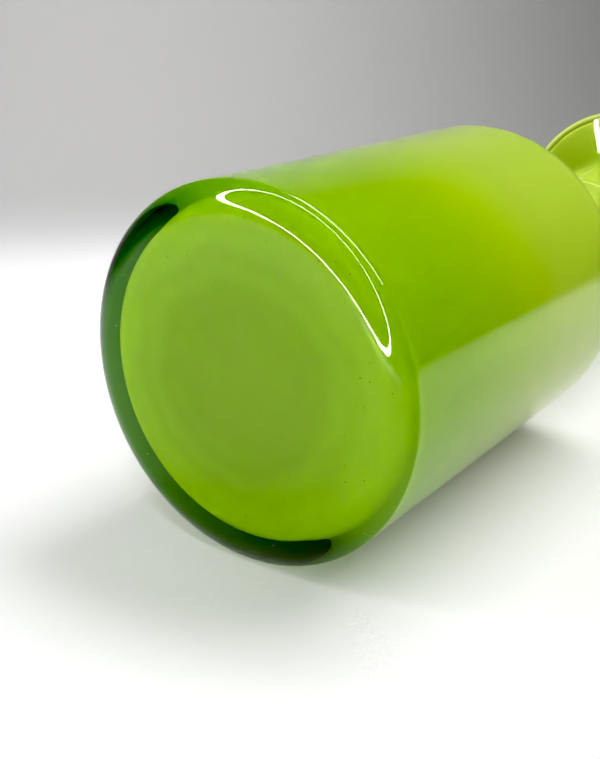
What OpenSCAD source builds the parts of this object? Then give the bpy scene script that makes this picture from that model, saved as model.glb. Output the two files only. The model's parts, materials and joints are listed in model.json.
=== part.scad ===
// Cased glass bud vase: a clear green casing fused over an opaque white opal lining.
// Millimetres. The vase stands on z = 0 with its axis on Z, so both layers are turned sections.
// Every outline is one bottle section, drawn again at a deeper inset for each surface.

/* [Body] */
// Widest diameter of the straight body
body_d = 70; // [68:1:90]
// Height of the flat of the shoulder above the table
body_h = 97; // [80:1:130]
// Radius that rounds the outside of the shoulder
shoulder_r = 9; // [6:0.5:10]

/* [Base and heel] */
// Radius of the broad sweep from the base up into the heel
heel_r = 7; // [5:0.5:9]
// Radius of the tight turn that closes the heel onto the wall
heel_edge_r = 1.2; // [0.6:0.1:2]
// Angle below level at which the broad sweep hands over to the tight turn
heel_turn = 40; // [30:1:55]
// Thickness of the green glass under the lining
base_t = 5; // [4:0.2:7]
// Thickness of the green casing at the foot of the wall
foot_t = 4.5; // [3:0.1:5]
// Height at which the casing has thinned from its foot to the thickness of the wall
foot_h = 60; // [20:1:60]
// Diameter of the shallow polished hollow in the middle of the base
punt_d = 40; // [30:1:42]
// Depth of that hollow
punt_depth = 0.6; // [0.3:0.1:1]

/* [Neck and rim] */
// Outside diameter of the neck
neck_d = 31; // [27:0.5:34]
// Radius of the hollow curve where the shoulder runs into the neck
root_r = 9; // [6:0.5:9]
// Overall height of the vase
vase_h = 188; // [170:1:220]
// Diameter of the flared rim
rim_d = 59; // [54:1:66]
// Slope of the flared rim above level, in degrees
rim_slope = 14; // [8:1:25]
// Radius of the hollow curve where the neck runs into the rim
flare_r = 4; // [3:0.5:6]

/* [Glass layers] */
// Thickness of the green casing on the wall, above its foot, and on the neck
casing_t = 2; // [1.4:0.1:2.4]
// Thickness of the white opal lining
opal_t = 2; // [1.4:0.1:2.2]
// Radius of the lining's lower corner
opal_corner_r = 3; // [2:0.5:5]
// How far the lining stops short of the lip, so that green glass closes over its edge
opal_setback = 1; // [0.5:0.1:2]

/* [Hidden] */

round_fn = 144;                       // segments of every ordinary arc
lathe_fn = 180;                       // segments around the axis
punt_fn = 1440;                       // the hollow's arc is short and very flat
lap = 1;                              // how far the pieces of one section run into each other

body_r = body_d / 2;
neck_r = neck_d / 2;
wall_t = casing_t + opal_t;
lip_r = wall_t / 2;                   // the lip is a full round over both layers
opal_edge_r = opal_t / 2;

// Centres of the heel's two arcs: the tight one sits inside the broad one and touches the wall
heel_c = [body_r - heel_edge_r - (heel_r - heel_edge_r) * cos(heel_turn), heel_r];
edge_c = [body_r - heel_edge_r, heel_r - (heel_r - heel_edge_r) * sin(heel_turn)];

// Centres of the shoulder's round and of the hollow curves at the foot and the head of the neck
shoulder_c = [body_r - shoulder_r, body_h - shoulder_r];
root_c = [neck_r + root_r, body_h + root_r];
lip_c = [rim_d / 2 - lip_r, vase_h - lip_r];
flare_drop = (lip_c.x - neck_r - flare_r) * tan(rim_slope) + (lip_r + flare_r) / cos(rim_slope);
flare_c = [neck_r + flare_r, lip_c.y - flare_drop];

// Length of the rim's straight underside, from the end of the hollow curve to the lip
rim_end = (lip_c - flare_c) * [cos(rim_slope), sin(rim_slope)];

// Sphere that cuts the hollow of the base
punt_sphere_r = (pow(punt_d / 2, 2) + pow(punt_depth, 2)) / (2 * punt_depth);

// A rectangle given by two opposite corners
module block(low, high) {
    translate(low) square(high - low);
}

// Glass in the hollow corner around `centre`, between the directions from_deg and to_deg.
// The arc is outer_r plus the inset, and the piece runs on into the ones it joins.
module hollow_corner(centre, from_deg, to_deg, outer_r, inset) {
    reach = outer_r + wall_t + lap;
    mid = (from_deg + to_deg) / 2;
    corner = reach / cos((to_deg - from_deg) / 2);
    translate(centre)
        difference() {
            polygon([[0, 0], reach * [cos(from_deg), sin(from_deg)],
                     corner * [cos(mid), sin(mid)], reach * [cos(to_deg), sin(to_deg)]]);
            circle(outer_r + inset, $fn = round_fn);
        }
}

// Places its children in the rim's own frame: x runs up the slope, y is square to the glass,
// and the origin is the centre of the hollow curve under the rim
module on_rim() {
    translate(flare_c) rotate(rim_slope) children();
}

// Heel of the outer surface: a broad sweep off the base, then a tight turn onto the wall
module swept_heel() {
    reach = 2 * heel_r;
    block([0, 0], [heel_c.x, edge_c.y]);
    translate(heel_c)
        intersection() {
            circle(heel_r, $fn = round_fn);
            polygon([[-lap, 0], [-lap, -reach], [reach, -reach], reach * [cos(heel_turn), -sin(heel_turn)],
                     [0, 0]]);
        }
    intersection() {
        translate(edge_c) circle(heel_edge_r, $fn = round_fn);
        block([heel_c.x, 0], [body_r, edge_c.y]);
    }
}

// Lower corner of an inner surface: one plain round
module round_heel(r_wall, floor_z, r) {
    block([0, floor_z], [r_wall - r, floor_z + r]);
    intersection() {
        translate([r_wall - r, floor_z + r]) circle(r, $fn = round_fn);
        block([r_wall - r, floor_z], [r_wall, floor_z + r]);
    }
}

// Body above its heel, shoulder, neck and the curve under the rim, for a surface that lies
// foot_inset inside the glass at the foot of the wall and `inset` from foot_h up
module wall_section(inset, foot_inset, wall_from_z) {
    r_wall = body_r - inset;
    top_z = body_h - inset;
    polygon([[0, wall_from_z], [body_r - foot_inset, wall_from_z], [r_wall, foot_h],
             [r_wall, shoulder_c.y], [0, shoulder_c.y]]);
    block([0, shoulder_c.y], [shoulder_c.x, top_z]);
    intersection() {
        translate(shoulder_c) circle(shoulder_r - inset, $fn = round_fn);
        block(shoulder_c, [r_wall, top_z]);
    }
    hollow_corner(root_c, 180, 270, root_r, inset);
    block([0, top_z - lap], [neck_r - inset, flare_c.y + lap]);
    hollow_corner(flare_c, 90 + rim_slope, 180, flare_r, inset);
}

// Everything inside the outer surface
module outer_section() {
    swept_heel();
    wall_section(0, 0, edge_c.y);
    on_rim() {
        block([-lap, flare_r], [rim_end, flare_r + wall_t]);
        translate([rim_end, flare_r + lip_r]) circle(lip_r, $fn = round_fn);
    }
}

// Everything inside the lining's outer surface
module lining_section() {
    end = rim_end - opal_setback;
    mid_y = flare_r + casing_t + opal_edge_r;
    round_heel(body_r - foot_t, base_t, opal_corner_r);
    wall_section(casing_t, foot_t, base_t + opal_corner_r);
    on_rim() {
        block([-lap, flare_r + casing_t], [end, flare_r + wall_t]);
        translate([end, mid_y]) circle(opal_edge_r, $fn = round_fn);
    }
}

// The room inside the vase, open through the mouth
module hollow_section() {
    floor_z = base_t + opal_t;
    corner_r = opal_corner_r - opal_t / 2;
    round_heel(body_r - foot_t - opal_t, floor_z, corner_r);
    wall_section(wall_t, foot_t + opal_t, floor_z + corner_r);
    block([0, flare_c.y - lap], [neck_r - wall_t, vase_h + lap]);
    on_rim() block([-lap, flare_r + wall_t], [rim_end, flare_r + 3 * wall_t]);
}

// The shallow polished hollow under the base
module punt_section() {
    intersection() {
        translate([0, punt_depth - punt_sphere_r]) circle(punt_sphere_r, $fn = punt_fn);
        block([0, -punt_depth], [punt_d / 2 + lap, punt_depth]);
    }
}

// Clear green outer layer, with the thick base, the heel and the lip
module green_casing() {
    color([0.36, 0.62, 0.08, 0.55])
        rotate_extrude($fn = lathe_fn)
            difference() {
                outer_section();
                lining_section();
                hollow_section();
                punt_section();
            }
}

// Opaque white inner layer, fused face to face with the casing
module opal_lining() {
    color([0.95, 0.96, 0.93])
        rotate_extrude($fn = lathe_fn)
            difference() {
                lining_section();
                hollow_section();
            }
}

green_casing();
opal_lining();
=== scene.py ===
"""Glass bud vase: clear green glass cased over an opaque white opal lining.

The vase lies on its side on a white table, base towards the camera, as the camera and the lamps
are placed here. The part itself keeps its own upright frame: base on z = 0, axis on +Z, metres.
"""

from __future__ import annotations

import json
import logging
import math
import random
from dataclasses import dataclass
from enum import Enum

import bmesh
import bpy
from mathutils import Matrix, Vector, noise

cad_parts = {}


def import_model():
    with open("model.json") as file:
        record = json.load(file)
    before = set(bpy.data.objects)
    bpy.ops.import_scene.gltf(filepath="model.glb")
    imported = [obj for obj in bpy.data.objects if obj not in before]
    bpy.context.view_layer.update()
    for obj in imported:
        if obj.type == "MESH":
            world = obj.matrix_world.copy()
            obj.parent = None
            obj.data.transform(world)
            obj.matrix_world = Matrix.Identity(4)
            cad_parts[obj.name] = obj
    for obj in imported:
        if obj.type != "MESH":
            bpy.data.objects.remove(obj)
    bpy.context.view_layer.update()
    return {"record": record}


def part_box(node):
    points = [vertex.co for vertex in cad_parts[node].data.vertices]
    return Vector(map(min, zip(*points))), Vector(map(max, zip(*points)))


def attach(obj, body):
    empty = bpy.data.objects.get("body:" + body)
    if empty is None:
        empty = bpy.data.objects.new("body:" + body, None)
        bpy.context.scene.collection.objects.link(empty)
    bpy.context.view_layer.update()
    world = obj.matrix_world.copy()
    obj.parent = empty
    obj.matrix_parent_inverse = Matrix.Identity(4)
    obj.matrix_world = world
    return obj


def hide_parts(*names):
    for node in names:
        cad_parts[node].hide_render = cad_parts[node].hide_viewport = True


LOG = logging.getLogger("bud_vase")
MM = 0.001
SAME_POINT = 1e-6
WHITE = (1.0, 1.0, 1.0, 1.0)

Colour = tuple[float, float, float, float]


class Node(Enum):
    """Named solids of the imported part."""

    CASING = "green_casing"
    LINING = "opal_lining"


class Slot(Enum):
    """Material slots of the record."""

    GREEN = "green_glass"
    OPAL = "opal_glass"


class Layer(Enum):
    """Surfaces of the bottle section, by how many layers of glass lie outside them."""

    OUTSIDE = 0
    SEAM = 1
    HOLLOW = 2


# --------------------------------------------------------------------------------------------
# Node helpers
# --------------------------------------------------------------------------------------------


class NodeTree:
    """Short way to wire a material's nodes."""

    def __init__(self, name: str) -> None:
        """Makes an empty node material.

        Args:
            name: the material's name.
        """
        self.material = bpy.data.materials.new(name)
        self.material.use_nodes = True
        self.nodes = self.material.node_tree.nodes
        self.links = self.material.node_tree.links
        self.nodes.clear()
        self.output = self.nodes.new("ShaderNodeOutputMaterial")

    def add(self, kind: str, **values: object) -> bpy.types.Node:
        """Adds a node.

        Args:
            kind: the node's type name without its ShaderNode prefix.
            **values: attributes, or input values with the socket's name in lower case and
                underscores for spaces.

        Returns:
            The new node.
        """
        node = self.nodes.new("ShaderNode" + kind)
        sockets = {s.name.lower().replace(" ", "_"): s for s in reversed(node.inputs)}
        for key, value in values.items():
            if key in sockets:
                sockets[key].default_value = value
            else:
                setattr(node, key, value)
        return node

    def link(self, start: bpy.types.NodeSocket, end: bpy.types.NodeSocket) -> None:
        """Joins two sockets.

        Args:
            start: the output.
            end: the input.
        """
        self.links.new(start, end)

    def coordinates(self) -> bpy.types.NodeSocket:
        """Adds object coordinates.

        Returns:
            The socket with the place on the piece, in metres.
        """
        return self.add("TexCoord").outputs["Object"]

    def noise(self, place: bpy.types.NodeSocket, scale: float, detail: float,
              roughness: float, distortion: float = 0.0) -> bpy.types.NodeSocket:
        """Adds cloudy noise.

        Args:
            place: the coordinates.
            scale: how many clouds there are to a metre.
            detail: how many finer layers it has.
            roughness: how strong the finer layers are.
            distortion: how much it swirls.

        Returns:
            The factor socket.
        """
        node = self.add("TexNoise", scale=scale, detail=detail, roughness=roughness,
                        distortion=distortion)
        self.link(place, node.inputs["Vector"])
        return node.outputs["Fac"]

    def emboss(self, shader: bpy.types.Node, height: bpy.types.NodeSocket, strength: float,
               distance: float) -> None:
        """Raises and sinks a shader's surface.

        Args:
            shader: the shader node.
            height: what drives it.
            strength: how much of it counts.
            distance: how high it stands, in metres.
        """
        node = self.add("Bump", strength=strength, distance=distance)
        self.link(height, node.inputs["Height"])
        self.link(node.outputs["Normal"], shader.inputs["Normal"])

    def combine(self, operation: str, first: bpy.types.NodeSocket,
                second: bpy.types.NodeSocket) -> bpy.types.NodeSocket:
        """Adds a node that makes one value of two, such as their sum or the larger.

        Args:
            operation: the Math node's operation.
            first: one value.
            second: the other.

        Returns:
            The result's socket.
        """
        node = self.add("Math", operation=operation)
        self.link(first, node.inputs[0])
        self.link(second, node.inputs[1])
        return node.outputs["Value"]

    def ramp(self, factor: bpy.types.NodeSocket, low: float, high: float,
             start: Colour, end: Colour) -> bpy.types.NodeSocket:
        """Colour that runs from one value to another.

        Args:
            factor: what drives it.
            low: the factor at which start ends.
            high: the factor at which end begins.
            start: the colour below low.
            end: the colour above high.

        Returns:
            The colour socket.
        """
        node = self.add("ValToRGB")
        first, last = node.color_ramp.elements
        first.position, first.color = low, start
        last.position, last.color = high, end
        self.link(factor, node.inputs["Fac"])
        return node.outputs["Color"]


def grey(value: float) -> Colour:
    """Mixes an opaque grey.

    Args:
        value: how light it is.

    Returns:
        The colour.
    """
    return (value, value, value, 1.0)


# --------------------------------------------------------------------------------------------
# Finishes
# --------------------------------------------------------------------------------------------


@dataclass(frozen=True)
class GreenGlass:
    """Clear leaf-green soda glass, fire-polished, with a ground and polished base."""

    ior: float = 1.5
    absorbed_colour: Colour = (0.889, 0.9545, 0.44, 1.0)
    absorbed_per_metre: float = 800.0
    polish: float = 0.004
    smear: float = 0.03
    smear_range: tuple[float, float] = (0.50, 0.78)
    speck: float = 0.4
    speck_scale: float = 300.0
    speck_core: float = 0.03
    speck_edge: float = 0.045
    ripple_strength: float = 0.35
    ripple_height: float = 0.02 * MM

    def roughness(self, tree: NodeTree, place: bpy.types.NodeSocket) -> bpy.types.NodeSocket:
        """Smears the polish here and there, and scatters a few dull specks of wear.

        Args:
            tree: the material's nodes.
            place: the coordinates.

        Returns:
            The roughness socket.
        """
        smudge = tree.noise(place, scale=70.0, detail=5.0, roughness=0.62)
        smeared = tree.ramp(smudge, *self.smear_range, grey(self.polish), grey(self.smear))
        specks = tree.add("TexVoronoi", scale=self.speck_scale)
        tree.link(place, specks.inputs["Vector"])
        worn = tree.add("MapRange", from_min=self.speck_edge, from_max=self.speck_core,
                        to_max=self.speck)
        tree.link(specks.outputs["Distance"], worn.inputs["Value"])
        return tree.combine("MAXIMUM", smeared, worn.outputs["Result"])

    def material(self) -> bpy.types.Material:
        """Builds the finish.

        Returns:
            A transmissive material whose colour comes from the depth of glass.
        """
        tree = NodeTree("green_glass")
        place = tree.coordinates()
        shader = tree.add("BsdfPrincipled", ior=self.ior, transmission_weight=1.0,
                          base_color=WHITE)
        tree.link(self.roughness(tree, place), shader.inputs["Roughness"])
        ripple = tree.noise(place, scale=45.0, detail=2.0, roughness=0.4)
        tree.emboss(shader, ripple, self.ripple_strength, self.ripple_height)
        depth = tree.add("VolumeAbsorption", color=self.absorbed_colour,
                         density=self.absorbed_per_metre)
        tree.link(shader.outputs["BSDF"], tree.output.inputs["Surface"])
        tree.link(depth.outputs["Volume"], tree.output.inputs["Volume"])
        return tree.material


@dataclass(frozen=True)
class OpalGlass:
    """Opaque white opal glass, with its colour darker towards the middle of the floor."""

    ior: float = 1.5
    sheen: float = 0.25
    white: Colour = (0.95, 0.96, 0.93, 1.0)
    warm: Colour = (0.91, 0.93, 0.88, 1.0)
    clouding: tuple[float, float] = (0.35, 0.68)
    middle_dark: float = 0.76
    middle_dark_r: tuple[float, float] = (12 * MM, 31 * MM)
    floor_z: float = 12 * MM
    ring_wander: float = 1.0 * MM
    polish: float = 0.12
    bloom: float = 0.3
    blooming: tuple[float, float] = (0.4, 0.75)
    grain_strength: float = 0.2
    grain_height: float = 0.02 * MM

    def radius(self, tree: NodeTree, axes: bpy.types.Node,
               place: bpy.types.NodeSocket) -> bpy.types.NodeSocket:
        """Measures the distance from the axis, unevenly, so that it draws faint rings.

        Args:
            tree: the material's nodes.
            axes: the node with the separate coordinates.
            place: the coordinates.

        Returns:
            The socket with the distance, in metres.
        """
        level = tree.add("CombineXYZ")
        tree.link(axes.outputs["X"], level.inputs["X"])
        tree.link(axes.outputs["Y"], level.inputs["Y"])
        radius = tree.add("VectorMath", operation="LENGTH")
        tree.link(level.outputs["Vector"], radius.inputs[0])
        rings = tree.add("TexWave", wave_type="RINGS", rings_direction="Z", scale=55.0,
                         distortion=5.0, detail=3.0, detail_scale=1.4)
        tree.link(place, rings.inputs["Vector"])
        uneven = tree.add("MapRange", to_min=-self.ring_wander, to_max=self.ring_wander)
        tree.link(rings.outputs["Fac"], uneven.inputs["Value"])
        return tree.combine("ADD", radius.outputs["Value"], uneven.outputs["Result"])

    def middle_darkening(self, tree: NodeTree, place: bpy.types.NodeSocket) -> bpy.types.NodeSocket:
        """Darkens the middle of the floor, and nothing above it.

        Args:
            tree: the material's nodes.
            place: the coordinates.

        Returns:
            The factor that the colour is multiplied by.
        """
        axes = tree.add("SeparateXYZ")
        tree.link(place, axes.inputs["Vector"])
        inner, outer = self.middle_dark_r
        # Darkens the colour towards the middle of the floor.
        shade = tree.add("MapRange", interpolation_type="SMOOTHSTEP", from_min=inner,
                         from_max=outer, to_min=self.middle_dark)
        tree.link(self.radius(tree, axes, place), shade.inputs["Value"])
        above = tree.add("Math", operation="GREATER_THAN")
        above.inputs[1].default_value = self.floor_z
        tree.link(axes.outputs["Z"], above.inputs[0])
        return tree.combine("MAXIMUM", shade.outputs["Result"], above.outputs["Value"])

    def material(self) -> bpy.types.Material:
        """Builds the finish.

        Returns:
            An opaque milky material with a faint cloudiness.
        """
        tree = NodeTree("opal_glass")
        place = tree.coordinates()
        shader = tree.add("BsdfPrincipled", ior=self.ior, specular_ior_level=self.sheen)
        cloud = tree.noise(place, scale=55.0, detail=4.0, roughness=0.55, distortion=0.8)
        tint = tree.add("VectorMath", operation="SCALE")
        tree.link(tree.ramp(cloud, *self.clouding, self.warm, self.white), tint.inputs[0])
        tree.link(self.middle_darkening(tree, place), tint.inputs["Scale"])
        tree.link(tint.outputs["Vector"], shader.inputs["Base Color"])
        tree.link(tree.ramp(cloud, *self.blooming, grey(self.polish), grey(self.bloom)),
                  shader.inputs["Roughness"])
        tree.emboss(shader, cloud, self.grain_strength, self.grain_height)
        tree.link(shader.outputs["BSDF"], tree.output.inputs["Surface"])
        return tree.material


@dataclass(frozen=True)
class Fade:
    """Change of a stage colour along a direction, in metres from the frame's origin.

    The colour that it fades to can itself fade along another direction.
    """

    direction: Vector
    span: tuple[float, float]
    far_colour: Colour
    beyond: Fade | None = None


@dataclass(frozen=True)
class OneSided:
    """Matt stage finish that shows from its front only, with a little light of its own."""

    name: str
    colour: Colour
    glow: float
    tooth: float
    fades: tuple[Fade, ...] = ()
    roughness: float = 0.9
    sheen: float = 0.1
    grain_height: float = 0.15 * MM

    def faded(self, tree: NodeTree, place: bpy.types.NodeSocket, near: Colour,
              before: bpy.types.NodeSocket | None, fade: Fade) -> bpy.types.NodeSocket:
        """Runs one colour into another along a direction.

        Args:
            tree: the material's nodes.
            place: the coordinates.
            near: the colour that it starts from.
            before: what gives that colour instead, if an earlier fade does.
            fade: how it changes.

        Returns:
            The colour socket.
        """
        reach = tree.add("VectorMath", operation="DOT_PRODUCT")
        reach.inputs[1].default_value = fade.direction
        tree.link(place, reach.inputs[0])
        start, end = fade.span
        share = tree.add("MapRange", interpolation_type="SMOOTHSTEP", from_min=start,
                         from_max=end)
        tree.link(reach.outputs["Value"], share.inputs["Value"])
        mix = tree.add("MixRGB", color1=near, color2=fade.far_colour)
        tree.link(share.outputs["Result"], mix.inputs["Fac"])
        if before:
            tree.link(before, mix.inputs["Color1"])
        if fade.beyond:
            tree.link(self.faded(tree, place, fade.far_colour, None, fade.beyond),
                      mix.inputs["Color2"])
        return mix.outputs["Color"]

    def material(self) -> bpy.types.Material:
        """Builds the finish.

        Returns:
            A diffuse material, clear when it is looked at from behind.
        """
        tree = NodeTree(self.name)
        place = tree.coordinates()
        shader = tree.add("BsdfPrincipled", base_color=self.colour, roughness=self.roughness,
                          specular_ior_level=self.sheen, emission_color=WHITE,
                          emission_strength=self.glow)
        grain = tree.noise(place, scale=900.0, detail=4.0, roughness=0.6)
        tree.emboss(shader, grain, self.tooth, self.grain_height)
        colour = None
        for fade in self.fades:
            colour = self.faded(tree, place, self.colour, colour, fade)
        if colour:
            for socket in ("Base Color", "Emission Color"):
                tree.link(colour, shader.inputs[socket])
        clear = tree.add("BsdfTransparent")
        side = tree.add("NewGeometry")
        choose = tree.add("MixShader")
        tree.link(side.outputs["Backfacing"], choose.inputs[0])
        tree.link(shader.outputs["BSDF"], choose.inputs[1])
        tree.link(clear.outputs["BSDF"], choose.inputs[2])
        tree.link(choose.outputs["Shader"], tree.output.inputs["Surface"])
        return tree.material


@dataclass(frozen=True)
class LampTube:
    """Bright face of a strip lamp."""

    strength: float

    def material(self) -> bpy.types.Material:
        """Builds the finish.

        Returns:
            An emitting material.
        """
        tree = NodeTree("lamp_tube")
        glow = tree.add("Emission", strength=self.strength)
        tree.link(glow.outputs["Emission"], tree.output.inputs["Surface"])
        return tree.material


# --------------------------------------------------------------------------------------------
# Turned glass
# --------------------------------------------------------------------------------------------


@dataclass
class BottleSizes:
    """Sizes of the vase, in metres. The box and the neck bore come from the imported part."""

    body_r: float
    height: float
    bore_r: float
    bore_length: float
    casing_t: float = 2 * MM
    opal_t: float = 2 * MM
    heel_r: float = 7 * MM
    heel_edge_r: float = 1.2 * MM
    heel_turn: float = math.radians(40)
    base_t: float = 5 * MM
    foot_t: float = 4.5 * MM
    foot_h: float = 60 * MM
    opal_corner_r: float = 3 * MM
    punt_r: float = 20 * MM
    punt_depth: float = 0.6 * MM
    shoulder_r: float = 9 * MM
    root_r: float = 9 * MM
    flare_r: float = 4 * MM
    rim_slope: float = math.radians(14)
    rim_r: float = 29.5 * MM
    opal_setback: float = 1 * MM

    @classmethod
    def from_frame(cls, record: dict) -> "BottleSizes":
        """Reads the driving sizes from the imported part.

        Args:
            record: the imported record.

        Returns:
            The sizes.
        """
        low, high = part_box(Node.CASING.value)
        bore = next(m for m in record["mounts"] if m["kind"] == "bore")
        return cls(body_r=min(high.x, high.y, -low.x, -low.y), height=high.z,
                   bore_r=bore["dims"]["r_mm"] * MM,
                   bore_length=bore["dims"]["length_mm"] * MM)

    @property
    def wall_t(self) -> float:
        """Thickness of both layers together."""
        return self.casing_t + self.opal_t

    @property
    def seam_corner(self) -> Vector:
        """Centre of the round at the lining's lower corner, as (radius, height)."""
        return Vector((self.body_r - self.foot_t - self.opal_corner_r,
                       self.base_t + self.opal_corner_r))

    @property
    def neck_r(self) -> float:
        """Outside radius of the neck."""
        return self.bore_r + self.wall_t

    def inset(self, layer: Layer) -> float:
        """Looks up how deep a surface lies below the outside.

        Args:
            layer: the surface.

        Returns:
            Its depth.
        """
        return {Layer.OUTSIDE: 0.0, Layer.SEAM: self.casing_t,
                Layer.HOLLOW: self.wall_t}[layer]

    @property
    def lip_c(self) -> Vector:
        """Centre of the lip's full round."""
        return Vector((self.rim_r - self.wall_t / 2, self.height - self.wall_t / 2))

    @property
    def root_c(self) -> Vector:
        """Centre of the hollow curve at the foot of the neck."""
        return Vector((self.neck_r + self.root_r, self.flare_c.y - self.bore_length))

    @property
    def flare_c(self) -> Vector:
        """Centre of the hollow curve under the rim, which is the origin of the rim's frame."""
        lip = self.lip_c
        out = self.wall_t / 2 + self.flare_r
        drop = ((lip.x - self.neck_r - self.flare_r) * math.tan(self.rim_slope)
                + out / math.cos(self.rim_slope))
        return Vector((self.neck_r + self.flare_r, lip.y - drop))

    @property
    def shoulder_c(self) -> Vector:
        """Centre of the shoulder's round."""
        top = self.root_c.y - self.root_r
        return Vector((self.body_r - self.shoulder_r, top - self.shoulder_r))

    @property
    def rim_end(self) -> float:
        """Length of the rim along its slope, from the hollow curve to the lip's centre."""
        along = Vector((math.cos(self.rim_slope), math.sin(self.rim_slope)))
        return (self.lip_c - self.flare_c).dot(along)

    def on_rim(self, along: float, out: float) -> Vector:
        """Places a point in the rim's own frame.

        Args:
            along: how far up the slope it lies.
            out: how far it lies above the centre of the hollow curve, square to the slope.

        Returns:
            The point, as (radius, height).
        """
        c, s = math.cos(self.rim_slope), math.sin(self.rim_slope)
        return self.flare_c + Vector((along * c - out * s, along * s + out * c))


class TurningLine:
    """Half section of a turned piece, drawn as one line of edges in the XZ plane."""

    def __init__(self, start: Vector) -> None:
        """Starts the line.

        Args:
            start: its first point, as (radius, height).
        """
        self.mesh = bmesh.new()
        self.tip = self.mesh.verts.new((start.x, 0.0, start.y))

    def run(self, end: Vector, steps: int = 1) -> None:
        """Draws a straight stretch.

        Args:
            end: where it ends, as (radius, height).
            steps: how many edges it has.
        """
        step = (Vector((end.x, 0.0, end.y)) - self.tip.co) / steps
        for _ in range(steps):
            made = bmesh.ops.extrude_vert_indiv(self.mesh, verts=[self.tip])
            self.tip = made["verts"][0]
            self.tip.co += step

    def sweep(self, centre: Vector, degrees: float, steps: int) -> None:
        """Draws an arc on from the tip.

        Args:
            centre: the arc's centre, as (radius, height).
            degrees: how far it turns, positive from +X towards +Z.
            steps: how many edges it has.
        """
        made = bmesh.ops.spin(self.mesh, geom=[self.tip], cent=(centre.x, 0.0, centre.y),
                              axis=(0.0, -1.0, 0.0), angle=math.radians(degrees), steps=steps,
                              use_merge=False, use_duplicate=False)
        self.tip = next(v for v in made["geom_last"] if isinstance(v, bmesh.types.BMVert))

    def turn(self, sides: int) -> bmesh.types.BMesh:
        """Turns the line once around the axis.

        Args:
            sides: how many facets go around.

        Returns:
            The closed mesh, with its faces outwards.
        """
        bmesh.ops.spin(self.mesh, geom=[*self.mesh.verts, *self.mesh.edges],
                       cent=(0.0, 0.0, 0.0), axis=(0.0, 0.0, 1.0), angle=2 * math.pi,
                       steps=sides, use_merge=True, use_duplicate=False)
        bmesh.ops.remove_doubles(self.mesh, verts=self.mesh.verts, dist=SAME_POINT)
        bmesh.ops.recalc_face_normals(self.mesh, faces=self.mesh.faces)
        return self.mesh


@dataclass
class TurnedLayer:
    """What both layers of glass share: the bottle's section at any depth, and the lathe."""

    sizes: BottleSizes
    sides: int = 240
    wander: float = 0.05 * MM
    wander_pitch: float = 24 * MM
    calm_r: float = 8 * MM

    def body_and_neck_up(self, line: TurningLine, layer: Layer, extra: float = 0.0) -> None:
        """Draws a surface from the foot of the straight wall up to the rim's slope.

        Args:
            line: the line to draw on.
            layer: which surface.
            extra: how far outside that surface to draw.
        """
        s, inset = self.sizes, self.sizes.inset(layer) - extra
        wall, neck = s.body_r - inset, s.neck_r - inset
        top = s.shoulder_c.y + s.shoulder_r - inset
        line.run(Vector((wall, s.foot_h)), steps=10)
        line.run(Vector((wall, s.shoulder_c.y)), steps=16)
        line.sweep(s.shoulder_c, 90, steps=20)
        line.run(Vector((s.root_c.x, top)))
        line.sweep(s.root_c, -90, steps=20)
        line.run(Vector((neck, s.flare_c.y)), steps=16)
        line.sweep(s.flare_c, -(90 - math.degrees(s.rim_slope)), steps=20)

    def hand_of_the_blower(self, mesh: bmesh.types.BMesh, seed: float) -> None:
        """Lets the surface wander a hair inwards, as blown glass does.

        Args:
            mesh: the mesh to change.
            seed: shifts the pattern, so that the layers differ.
        """
        for v in mesh.verts:
            r = math.hypot(v.co.x, v.co.y)
            if r < SAME_POINT:
                continue
            spot = v.co / self.wander_pitch + Vector((seed, 0.0, 0.0))
            hollow = 0.5 + 0.5 * max(-1.0, min(1.0, noise.noise(spot)))
            v.co.xy *= 1.0 - self.wander * hollow / max(r, self.calm_r)

    def finish(self, mesh: bmesh.types.BMesh, name: str, material: bpy.types.Material,
               node: Node, slot: Slot) -> bpy.types.Object:
        """Makes the object, hangs it on the root body and hides the imported solid that it
        stands for.

        Args:
            mesh: the finished mesh.
            name: the piece's name.
            material: its finish.
            node: the solid that it stands for.
            slot: the record's slot of its finish; not used.

        Returns:
            The object.
        """
        data = bpy.data.meshes.new(name)
        mesh.to_mesh(data)
        mesh.free()
        data.shade_smooth()
        data.materials.append(material)
        piece = bpy.data.objects.new(name, data)
        bpy.context.scene.collection.objects.link(piece)
        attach(piece, "root")
        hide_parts(node.value)
        LOG.info("%s: %d faces", name, len(data.polygons))
        return piece


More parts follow.
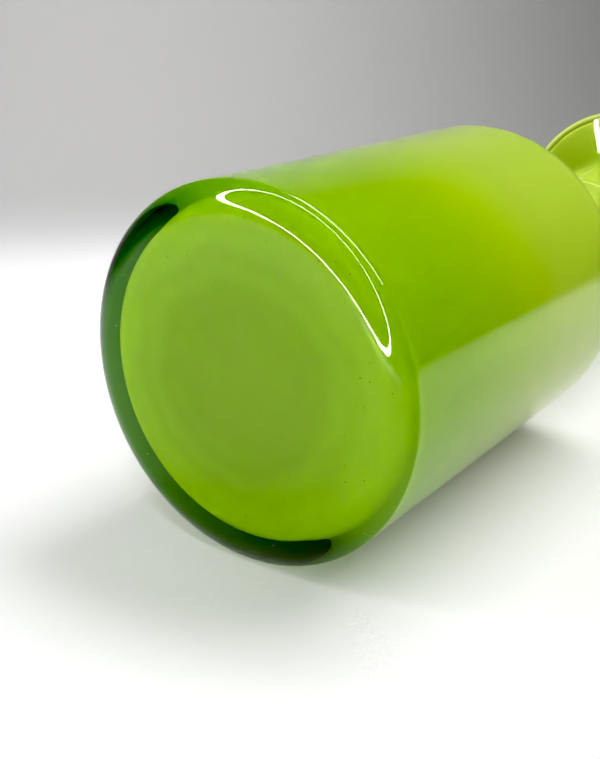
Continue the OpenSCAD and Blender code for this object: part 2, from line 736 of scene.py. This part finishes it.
@dataclass
class GreenCasing(TurnedLayer):
    """Clear outer layer with the thick base, the heel and the rolled lip."""

    seeds: int = 26
    seed_r: tuple[float, float] = (0.06 * MM, 0.16 * MM)
    seed_spread: tuple[float, float] = (0.72, 1.0)
    seed_depth: tuple[float, float] = (0.45, 0.8)
    seed_clear: float = 0.62
    draw: int = 11

    def outside(self) -> TurningLine:
        """Draws the outer surface, from the middle of the base to the lip.

        Returns:
            The line, with its tip at the top of the lip.
        """
        s = self.sizes
        ball = (s.punt_r ** 2 + s.punt_depth ** 2) / (2 * s.punt_depth)
        heel = Vector((s.body_r - s.heel_edge_r
                       - (s.heel_r - s.heel_edge_r) * math.cos(s.heel_turn), s.heel_r))
        edge = Vector((s.body_r - s.heel_edge_r,
                       s.heel_r - (s.heel_r - s.heel_edge_r) * math.sin(s.heel_turn)))
        line = TurningLine(Vector((0.0, s.punt_depth)))
        line.sweep(Vector((0.0, s.punt_depth - ball)),
                   -math.degrees(math.asin(s.punt_r / ball)), steps=16)
        line.run(Vector((heel.x, 0.0)), steps=5)
        line.sweep(heel, 90 - math.degrees(s.heel_turn), steps=26)
        line.sweep(edge, math.degrees(s.heel_turn), steps=14)
        self.body_and_neck_up(line, Layer.OUTSIDE)
        line.run(s.on_rim(s.rim_end, s.flare_r), steps=4)
        line.sweep(s.on_rim(s.rim_end, s.flare_r + s.wall_t / 2), 180, steps=20)
        return line

    def back_down_the_seam(self, line: TurningLine) -> None:
        """Goes on around the lining's edge and down the seam to the middle of the floor.

        Args:
            line: the line, with its tip at the top of the lip.
        """
        s = self.sizes
        stop = s.rim_end - s.opal_setback
        line.run(s.on_rim(stop, s.flare_r + s.wall_t))
        line.sweep(s.on_rim(stop, s.flare_r + s.casing_t + s.opal_t / 2), -180, steps=12)
        line.run(s.on_rim(0.0, s.flare_r + s.casing_t), steps=4)
        line.sweep(s.flare_c, 90 - math.degrees(s.rim_slope), steps=20)
        line.run(Vector((s.neck_r - s.casing_t, s.root_c.y)), steps=16)
        line.sweep(s.root_c, 90, steps=20)
        line.run(Vector((s.shoulder_c.x, s.shoulder_c.y + s.shoulder_r - s.casing_t)))
        line.sweep(s.shoulder_c, -90, steps=16)
        line.run(Vector((s.body_r - s.casing_t, s.foot_h)), steps=16)
        line.run(Vector((s.body_r - s.foot_t, s.seam_corner.y)), steps=10)
        line.sweep(s.seam_corner, -90, steps=16)
        line.run(Vector((0.0, s.base_t)), steps=20)

    def add_seeds(self, mesh: bmesh.types.BMesh) -> None:
        """Traps a few tiny air bubbles in the clear glass of the base and heel.

        Args:
            mesh: the casing's mesh.
        """
        s, dice = self.sizes, random.Random(self.draw)
        for _ in range(self.seeds):
            turn = dice.uniform(0, 2 * math.pi)
            out = dice.uniform(*self.seed_spread) * (s.body_r - s.heel_r * self.seed_clear)
            spot = Vector((out * math.cos(turn), out * math.sin(turn),
                           dice.uniform(*self.seed_depth) * s.base_t))
            made = bmesh.ops.create_icosphere(mesh, subdivisions=2,
                                              radius=dice.uniform(*self.seed_r),
                                              matrix=Matrix.Translation(spot))
            faces = {f for v in made["verts"] for f in v.link_faces}
            bmesh.ops.reverse_faces(mesh, faces=list(faces))

    def build(self, glass: GreenGlass) -> bpy.types.Object:
        """Builds the piece.

        Args:
            glass: its finish.

        Returns:
            The object.
        """
        line = self.outside()
        self.back_down_the_seam(line)
        mesh = line.turn(self.sides)
        self.hand_of_the_blower(mesh, 0.0)
        self.add_seeds(mesh)
        return self.finish(mesh, "green_glass_casing", glass.material(), Node.CASING,
                           Slot.GREEN)


@dataclass
class OpalLining(TurnedLayer):
    """Opaque white inner layer, let a hair into the casing so that no gap shows."""

    bite: float = 0.06 * MM

    def build(self, glass: OpalGlass) -> bpy.types.Object:
        """Builds the piece.

        Args:
            glass: its finish.

        Returns:
            The object.
        """
        s, b = self.sizes, self.bite
        line = TurningLine(Vector((0.0, s.base_t - b)))
        line.run(Vector((s.seam_corner.x, s.base_t - b)), steps=20)
        line.sweep(s.seam_corner, 90, steps=16)
        self.body_and_neck_up(line, Layer.SEAM, b)
        thick = s.opal_t + b
        stop = s.rim_end - s.opal_setback + b / 2
        line.run(s.on_rim(stop, s.flare_r + s.casing_t - b), steps=4)
        line.sweep(s.on_rim(stop, s.flare_r + s.wall_t - thick / 2), 180, steps=12)
        line.run(s.on_rim(0.0, s.flare_r + s.wall_t), steps=4)
        wall, neck = s.body_r - s.foot_t - s.opal_t, s.bore_r
        line.sweep(s.flare_c, 90 - math.degrees(s.rim_slope), steps=20)
        line.run(Vector((neck, s.root_c.y)), steps=16)
        line.sweep(s.root_c, 90, steps=20)
        line.run(Vector((s.shoulder_c.x, s.shoulder_c.y + s.shoulder_r - s.wall_t)))
        line.sweep(s.shoulder_c, -90, steps=12)
        r = s.opal_corner_r - s.opal_t / 2
        floor = s.base_t + s.opal_t
        line.run(Vector((s.body_r - s.wall_t, s.foot_h)), steps=12)
        line.run(Vector((wall, floor + r)), steps=10)
        line.sweep(Vector((wall - r, floor + r)), -90, steps=10)
        line.run(Vector((0.0, floor)), steps=12)
        mesh = line.turn(self.sides)
        return self.finish(mesh, "opal_glass_lining", glass.material(), Node.LINING,
                           Slot.OPAL)


# --------------------------------------------------------------------------------------------
# Stage
# --------------------------------------------------------------------------------------------


@dataclass(frozen=True)
class TableFrame:
    """Directions of the table that the vase lies on: along the vase, across it, and up.

    The table touches the vase along one side. Its upward direction is level in the vase's own
    frame, half way between +X and -Y.
    """

    body_r: float
    azimuth: float = math.radians(-45)

    @property
    def up(self) -> Vector:
        """Upwards off the table."""
        return Vector((math.cos(self.azimuth), math.sin(self.azimuth), 0.0))

    @property
    def across(self) -> Vector:
        """Level, to the right as one looks at the base."""
        return Vector((-math.sin(self.azimuth), math.cos(self.azimuth), 0.0))

    @property
    def along(self) -> Vector:
        """Level, from the base towards the mouth."""
        return Vector((0.0, 0.0, 1.0))

    def point(self, across: float, height: float, along: float) -> Vector:
        """Places a point.

        Args:
            across: how far it lies to the right of the vase's axis.
            height: how high it lies above the table.
            along: how far it lies along the vase from its base.

        Returns:
            The point, in the part's frame.
        """
        return (self.across * across + self.up * (height - self.body_r)
                + self.along * along)

    def direction(self, heading: float, rise: float) -> Vector:
        """Works out a direction.

        Args:
            heading: angle from the vase's direction towards -across, in degrees.
            rise: angle above the table, in degrees.

        Returns:
            The unit vector.
        """
        h, e = math.radians(heading), math.radians(rise)
        return (self.along * math.cos(h) * math.cos(e) - self.across * math.sin(h) * math.cos(e)
                + self.up * math.sin(e))


def facing(forward: Vector, up: Vector) -> Matrix:
    """Turns a camera or a lamp.

    Args:
        forward: the direction that it looks along.
        up: the direction at the top of its view.

    Returns:
        The turn.
    """
    z = -forward.normalized()
    x = up.cross(z).normalized()
    y = z.cross(x)
    return Matrix((x, y, z)).transposed().to_4x4()


def show(mesh: bmesh.types.BMesh, name: str, finish: OneSided | LampTube) -> bpy.types.Object:
    """Makes a stage object.

    Args:
        mesh: its mesh.
        name: its name.
        finish: its finish.

    Returns:
        The object.
    """
    data = bpy.data.meshes.new(name)
    mesh.to_mesh(data)
    mesh.free()
    data.shade_smooth()
    data.materials.append(finish.material())
    thing = bpy.data.objects.new(name, data)
    bpy.context.scene.collection.objects.link(thing)
    return thing


@dataclass(frozen=True)
class CameraStand:
    """Camera beside the base, looking along the lying vase. Degrees and metres."""

    across: float = 107.3 * MM
    height: float = 98.9 * MM
    along: float = -130.4 * MM
    heading: float = 35.56
    pitch: float = -20.46
    lens_mm: float = 49.80
    sensor_mm: float = 36.0
    near_clip: float = 5 * MM

    def place(self, table: TableFrame) -> None:
        """Places the camera.

        Args:
            table: the table that it stands on.
        """
        data = bpy.data.cameras.new("camera")
        data.lens = self.lens_mm
        data.sensor_width = self.sensor_mm
        data.clip_start = self.near_clip
        view = bpy.data.objects.new("camera", data)
        turn = facing(table.direction(self.heading, self.pitch), table.up)
        spot = table.point(self.across, self.height, self.along)
        view.matrix_world = Matrix.Translation(spot) @ turn
        bpy.context.scene.collection.objects.link(view)
        bpy.context.scene.camera = view


@dataclass(frozen=True)
class TableSweep:
    """White table that sweeps up into a backdrop painted grey as shade, square to the camera's
    heading.

    Painted shade: the table is a little darker on the right, and the backdrop darkens to the
    right as well.
    """

    distance: float = 0.44
    curve_r: float = 0.22
    curve_steps: int = 32
    half_width: float = 1.1
    near_reach: float = 0.9
    wall_height: float = 0.9
    glow: float = 0.19
    tooth: float = 0.25
    paper: Colour = (0.76, 0.755, 0.76, 1.0)
    # painted shade on the right side of the table
    painted_shade_paper: Colour = (0.56, 0.56, 0.545, 1.0)
    painted_shade_span: tuple[float, float] = (-0.03, 0.10)
    # painted shade: the grey that the backdrop fades to, away from the camera
    backdrop: Colour = (0.47, 0.465, 0.467, 1.0)
    backdrop_shade_span: tuple[float, float] = (0.18, 0.34)
    # painted shade that darkens the backdrop to the right
    painted_falloff_shade: Colour = (0.09, 0.09, 0.09, 1.0)
    painted_falloff_span: tuple[float, float] = (-0.2, 0.3)

    @staticmethod
    def extend(mesh: bmesh.types.BMesh, edge: bmesh.types.BMEdge,
               reach: Vector) -> bmesh.types.BMEdge:
        """Pulls an edge out into a flat face.

        Args:
            mesh: the mesh.
            edge: its free edge.
            reach: how far, and which way.

        Returns:
            The new free edge.
        """
        made = bmesh.ops.extrude_edge_only(mesh, edges=[edge])["geom"]
        bmesh.ops.translate(mesh, vec=reach,
                            verts=[v for v in made if isinstance(v, bmesh.types.BMVert)])
        return next(e for e in made if isinstance(e, bmesh.types.BMEdge))

    def build(self, table: TableFrame, camera: CameraStand) -> bpy.types.Object:
        """Builds the table and its backdrop as one sheet.

        Args:
            table: the directions of the table.
            camera: the camera that it is square to.

        Returns:
            The object.
        """
        away = table.direction(camera.heading, 0.0)
        side = away.cross(table.up)
        foot = table.point(camera.across, 0.0, camera.along)
        mesh = bmesh.new()
        ends = [mesh.verts.new(foot - away * self.near_reach + side * w * self.half_width)
                for w in (-1.0, 1.0)]
        edge = mesh.edges.new(ends)
        edge = self.extend(mesh, edge, away * (self.near_reach + self.distance))
        middle = foot + away * self.distance + table.up * self.curve_r
        made = bmesh.ops.spin(mesh, geom=[edge, *edge.verts], cent=middle, axis=side,
                              angle=math.pi / 2, steps=self.curve_steps, use_merge=False,
                              use_duplicate=False)
        edge = next(e for e in made["geom_last"] if isinstance(e, bmesh.types.BMEdge))
        self.extend(mesh, edge, table.up * self.wall_height)
        mesh.faces.ensure_lookup_table()
        first = mesh.faces[0]
        first.normal_update()
        if first.normal.dot(table.up) < 0:
            bmesh.ops.reverse_faces(mesh, faces=mesh.faces)
        # Painted shade: the table darkens to the right, and the far sweep is painted grey and
        # darkens to the right.
        right = Fade(side, self.painted_shade_span, self.painted_shade_paper)
        painted_falloff_shade = Fade(side, self.painted_falloff_span, self.painted_falloff_shade)
        far = Fade(away, self.backdrop_shade_span, self.backdrop, painted_falloff_shade)
        return show(mesh, "table_sweep",
                    OneSided("table_paper", self.paper, self.glow, self.tooth, (right, far)))


@dataclass(frozen=True)
class StandingFloor:
    """Pale floor for when the vase is seen upright. Only the eye meets it, and from above."""

    paper: Colour = (0.84, 0.835, 0.85, 1.0)
    glow: float = 0.8
    tooth: float = 0.2
    reach: float = 3.0
    drop: float = 0.2 * MM

    def build(self) -> bpy.types.Object:
        """Builds the floor.

        Returns:
            The object.
        """
        mesh = bmesh.new()
        bmesh.ops.create_grid(mesh, x_segments=1, y_segments=1, size=self.reach,
                              matrix=Matrix.Translation((0.0, 0.0, -self.drop)))
        floor = show(mesh, "standing_floor",
                     OneSided("floor_paper", self.paper, self.glow, self.tooth))
        floor.visible_diffuse = floor.visible_glossy = floor.visible_transmission = False
        floor.visible_shadow = floor.visible_volume_scatter = False
        return floor


@dataclass(frozen=True)
class Softbox:
    """Soft lamp that hangs level over the table, out of the camera's sight."""

    name: str = "overhead_softbox"
    across: float = 0.15
    height: float = 0.42
    along: float = 0.24
    size: tuple[float, float] = (0.5, 0.24)
    watts: float = 3.6

    def hang(self, table: TableFrame) -> None:
        """Hangs the lamp, facing straight down.

        Args:
            table: the table under it.
        """
        data = bpy.data.lights.new(self.name, "AREA")
        data.shape = "RECTANGLE"
        data.size, data.size_y = self.size
        data.energy = self.watts
        lamp = bpy.data.objects.new(self.name, data)
        spot = table.point(self.across, self.height, self.along)
        lamp.matrix_world = Matrix.Translation(spot) @ facing(-table.up, table.along)
        lamp.visible_camera = False
        bpy.context.scene.collection.objects.link(lamp)


@dataclass(frozen=True)
class RingLamp:
    """Thin ring of light that stands in front of the base, out of the camera's sight."""

    across: float = 0.055
    height: float = 0.365
    along: float = -0.30
    heading: float = 160.3
    rise: float = 3.8
    ring_r: float = 0.34
    tube_r: float = 0.009
    ring_steps: int = 128
    tube_sides: int = 16
    strength: float = 23.0

    def stand(self, table: TableFrame) -> bpy.types.Object:
        """Builds the lamp.

        Args:
            table: the table that it stands on.

        Returns:
            The object.
        """
        mesh = bmesh.new()
        made = bmesh.ops.create_circle(mesh, segments=self.tube_sides, radius=self.tube_r,
                                       matrix=Matrix.Translation((self.ring_r, 0.0, 0.0))
                                       @ Matrix.Rotation(math.pi / 2, 4, "X"))
        rim = {e for v in made["verts"] for e in v.link_edges}
        bmesh.ops.spin(mesh, geom=[*made["verts"], *rim], cent=(0.0, 0.0, 0.0),
                       axis=(0.0, 0.0, 1.0), angle=2 * math.pi, steps=self.ring_steps,
                       use_merge=True, use_duplicate=False)
        bmesh.ops.recalc_face_normals(mesh, faces=mesh.faces)
        centre = table.point(self.across, self.height, self.along)
        turn = facing(table.direction(self.heading, self.rise), table.up)
        bmesh.ops.transform(mesh, verts=mesh.verts, matrix=Matrix.Translation(centre) @ turn)
        ring = show(mesh, "ring_lamp", LampTube(self.strength))
        ring.visible_camera = False
        return ring


@dataclass(frozen=True)
class Room:
    """Even light from all round, in front of a pale wall far away."""

    air: Colour = (0.97, 0.98, 1.0, 1.0)
    light: float = 0.10
    wall: float = 0.8

    def build(self) -> None:
        """Builds the world. Only the eye sees the wall, so that it lights nothing."""
        world = bpy.data.worlds.new("room")
        world.use_nodes = True
        tree = world.node_tree
        ground = tree.nodes["Background"]
        ground.inputs["Color"].default_value = self.air
        ground.inputs["Strength"].default_value = self.light
        wall = tree.nodes.new("ShaderNodeBackground")
        wall.inputs["Color"].default_value = WHITE
        wall.inputs["Strength"].default_value = self.wall
        path = tree.nodes.new("ShaderNodeLightPath")
        choose = tree.nodes.new("ShaderNodeMixShader")
        tree.links.new(path.outputs["Is Camera Ray"], choose.inputs[0])
        tree.links.new(ground.outputs["Background"], choose.inputs[1])
        tree.links.new(wall.outputs["Background"], choose.inputs[2])
        tree.links.new(choose.outputs["Shader"], tree.nodes["World Output"].inputs["Surface"])
        bpy.context.scene.world = world


@dataclass(frozen=True)
class Studio:
    """Everything around the vase: table, backdrop, lamps, room and camera."""

    table: TableFrame
    camera: CameraStand = CameraStand()
    sweep: TableSweep = TableSweep()
    floor: StandingFloor = StandingFloor()
    softbox: Softbox = Softbox()
    ring: RingLamp = RingLamp()
    room: Room = Room()
    black: tuple[float, float, float] = (0.033, 0.033, 0.042)

    def grade(self) -> None:
        """Sets plain colour with a slightly deepened black, a little more so in the blue."""
        view = bpy.context.scene.view_settings
        view.view_transform = "Standard"
        view.use_curve_mapping = True
        view.curve_mapping.black_level = self.black
        view.curve_mapping.update()

    def build(self) -> None:
        """Builds the whole stage."""
        self.sweep.build(self.table, self.camera)
        self.floor.build()
        self.softbox.hang(self.table)
        self.ring.stand(self.table)
        self.room.build()
        self.camera.place(self.table)
        self.grade()


def main() -> None:
    """Builds the vase and its stage."""
    logging.basicConfig(level=logging.INFO, format="%(name)s: %(message)s")
    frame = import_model()
    sizes = BottleSizes.from_frame(frame["record"])
    GreenCasing(sizes).build(GreenGlass())
    OpalLining(sizes).build(OpalGlass())
    Studio(TableFrame(sizes.body_r)).build()


if __name__ == "__main__":
    main()
